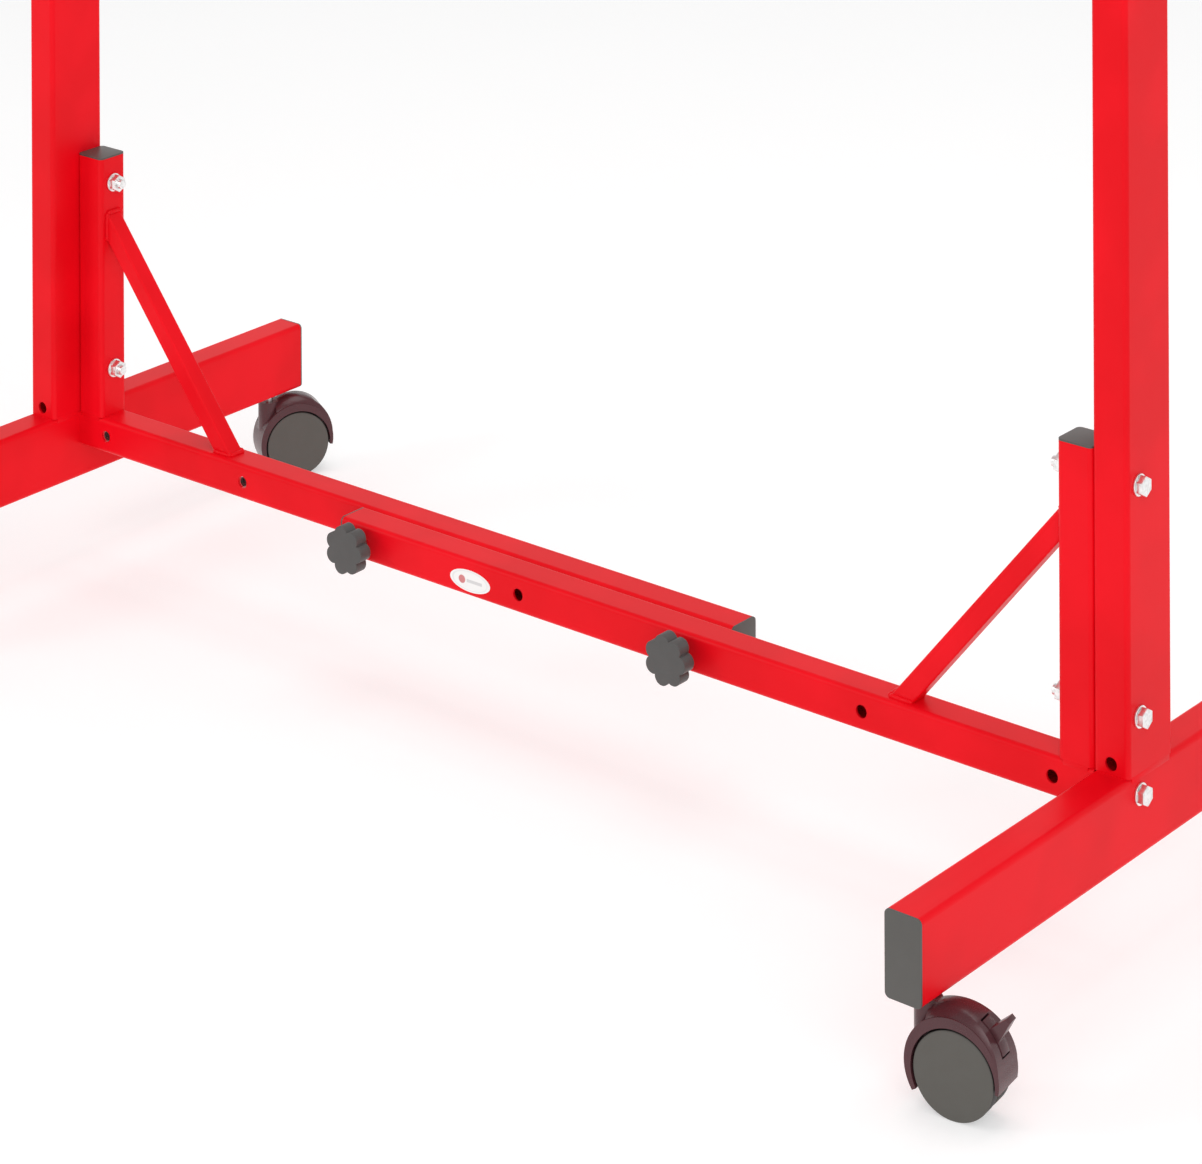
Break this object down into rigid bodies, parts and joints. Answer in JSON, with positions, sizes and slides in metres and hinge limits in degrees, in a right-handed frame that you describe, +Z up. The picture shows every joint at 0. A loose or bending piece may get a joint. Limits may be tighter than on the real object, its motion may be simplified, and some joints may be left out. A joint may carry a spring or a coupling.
{
  "type": "mobile tyre storage rack",
  "caption": "Width-adjustable tyre rack on casters: two T-shaped end frames joined by sliding side bars with star knobs, and telescopic tyre rails.",
  "frame": {"origin": "centre of the footprint on the floor, between the two end frames", "axes": "+X along the rack from the left end frame to the right one, +Y to the back, +Z up"},
  "size_m": [1.2352, 0.6311, 1.5],
  "materials": {
    "red_paint": "glossy powder coat",
    "black_plastic": "fine moulded grain",
    "knob_plastic": "satin moulded",
    "wheel_plastic": "smooth satin",
    "zinc": "bright zinc plate",
    "label_film": "plain vinyl"
  },
  "bodies": {
    "left_frame": {"left_foot": "red_paint", "left_upright": "red_paint", "left_post": "red_paint", "left_bar": "red_paint", "left_brace": "red_paint", "left_lower_arm": "red_paint", "left_upper_arm": "red_paint", "left_front_lower_rail": "red_paint", "left_rear_lower_rail": "red_paint", "left_front_upper_rail": "red_paint", "left_rear_upper_rail": "red_paint", "left_wide_caps": "black_plastic", "left_square_caps": "black_plastic", "left_bolts": "zinc", "left_washers": "zinc", "left_nuts": "zinc", "left_caster_stems": "zinc", "left_stem_sockets": "zinc", "bar_weld_nuts": "zinc"},
    "right_frame": {"right_foot": "red_paint", "right_upright": "red_paint", "right_post": "red_paint", "right_bar": "red_paint", "right_brace": "red_paint", "right_lower_arm": "red_paint", "right_upper_arm": "red_paint", "right_front_lower_rail": "red_paint", "right_rear_lower_rail": "red_paint", "right_front_upper_rail": "red_paint", "right_rear_upper_rail": "red_paint", "right_wide_caps": "black_plastic", "right_square_caps": "black_plastic", "right_bolts": "zinc", "right_washers": "zinc", "right_nuts": "zinc", "right_caster_stems": "zinc", "right_stem_sockets": "zinc", "label": "label_film"},
    "outer_knob": {"outer_knob_head": "knob_plastic", "outer_knob_stud": "zinc"},
    "inner_knob": {"inner_knob_head": "knob_plastic", "inner_knob_stud": "zinc"},
    "front_left_caster": {"front_left_housing": "black_plastic", "front_left_axle": "zinc"},
    "front_left_outer_roller": {"front_left_outer_wheel": "wheel_plastic"},
    "front_left_inner_roller": {"front_left_inner_wheel": "wheel_plastic"},
    "front_left_brake_lever": {"front_left_brake": "black_plastic"},
    "front_right_caster": {"front_right_housing": "black_plastic", "front_right_axle": "zinc"},
    "front_right_outer_roller": {"front_right_outer_wheel": "wheel_plastic"},
    "front_right_inner_roller": {"front_right_inner_wheel": "wheel_plastic"},
    "front_right_brake_lever": {"front_right_brake": "black_plastic"},
    "rear_left_caster": {"rear_left_housing": "black_plastic", "rear_left_axle": "zinc"},
    "rear_left_outer_roller": {"rear_left_outer_wheel": "wheel_plastic"},
    "rear_left_inner_roller": {"rear_left_inner_wheel": "wheel_plastic"},
    "rear_right_caster": {"rear_right_housing": "black_plastic", "rear_right_axle": "zinc"},
    "rear_right_outer_roller": {"rear_right_outer_wheel": "wheel_plastic"},
    "rear_right_inner_roller": {"rear_right_inner_wheel": "wheel_plastic"}
  },
  "joints": [
    {"name": "width_slide", "type": "slide", "parent": "left_frame", "child": "right_frame", "axis": [1, 0, 0], "range_m": [-0.34, 0.17]},
    {"name": "outer_knob_screw", "type": "slide", "parent": "right_frame", "child": "outer_knob", "axis": [0, 1, 0], "range_m": [-0.036, 0.01]},
    {"name": "inner_knob_screw", "type": "slide", "parent": "right_frame", "child": "inner_knob", "axis": [0, 1, 0], "range_m": [-0.036, 0.01]},
    {"name": "front_left_swivel", "type": "hinge", "parent": "left_frame", "child": "front_left_caster", "pos_m": [-0.56, -0.26, 0.065], "axis": [0, 0, 1], "continuous": true},
    {"name": "front_left_outer_roll", "type": "hinge", "parent": "front_left_caster", "child": "front_left_outer_roller", "pos_m": [-0.57768, -0.27768, 0.03], "axis": [0.7071, -0.7071, 0], "continuous": true},
    {"name": "front_left_inner_roll", "type": "hinge", "parent": "front_left_caster", "child": "front_left_inner_roller", "pos_m": [-0.57768, -0.27768, 0.03], "axis": [0.7071, -0.7071, 0], "continuous": true},
    {"name": "front_left_brake_rock", "type": "hinge", "parent": "front_left_caster", "child": "front_left_brake_lever", "pos_m": [-0.59504, -0.29504, 0.05633], "axis": [0.7071, -0.7071, 0], "range_deg": [0, 8]},
    {"name": "front_right_swivel", "type": "hinge", "parent": "right_frame", "child": "front_right_caster", "pos_m": [0.56, -0.26, 0.065], "axis": [0, 0, 1], "continuous": true},
    {"name": "front_right_outer_roll", "type": "hinge", "parent": "front_right_caster", "child": "front_right_outer_roller", "pos_m": [0.58479, -0.25674, 0.03], "axis": [-0.1305, 0.9914, 0], "continuous": true},
    {"name": "front_right_inner_roll", "type": "hinge", "parent": "front_right_caster", "child": "front_right_inner_roller", "pos_m": [0.58479, -0.25674, 0.03], "axis": [-0.1305, 0.9914, 0], "continuous": true},
    {"name": "front_right_brake_rock", "type": "hinge", "parent": "front_right_caster", "child": "front_right_brake_lever", "pos_m": [0.60913, -0.25353, 0.05633], "axis": [-0.1305, 0.9914, 0], "range_deg": [0, 8]},
    {"name": "rear_left_swivel", "type": "hinge", "parent": "left_frame", "child": "rear_left_caster", "pos_m": [-0.56, 0.26, 0.065], "axis": [0, 0, 1], "continuous": true},
    {"name": "rear_left_outer_roll", "type": "hinge", "parent": "rear_left_caster", "child": "rear_left_outer_roller", "pos_m": [-0.5475, 0.28165, 0.03], "axis": [-0.866, 0.5, 0], "continuous": true},
    {"name": "rear_left_inner_roll", "type": "hinge", "parent": "rear_left_caster", "child": "rear_left_inner_roller", "pos_m": [-0.5475, 0.28165, 0.03], "axis": [-0.866, 0.5, 0], "continuous": true},
    {"name": "rear_right_swivel", "type": "hinge", "parent": "right_frame", "child": "rear_right_caster", "pos_m": [0.56, 0.26, 0.065], "axis": [0, 0, 1], "continuous": true},
    {"name": "rear_right_outer_roll", "type": "hinge", "parent": "rear_right_caster", "child": "rear_right_outer_roller", "pos_m": [0.58097, 0.27362, 0.03], "axis": [-0.5446, 0.8387, 0], "continuous": true},
    {"name": "rear_right_inner_roll", "type": "hinge", "parent": "rear_right_caster", "child": "rear_right_inner_roller", "pos_m": [0.58097, 0.27362, 0.03], "axis": [-0.5446, 0.8387, 0], "continuous": true}
  ]
}
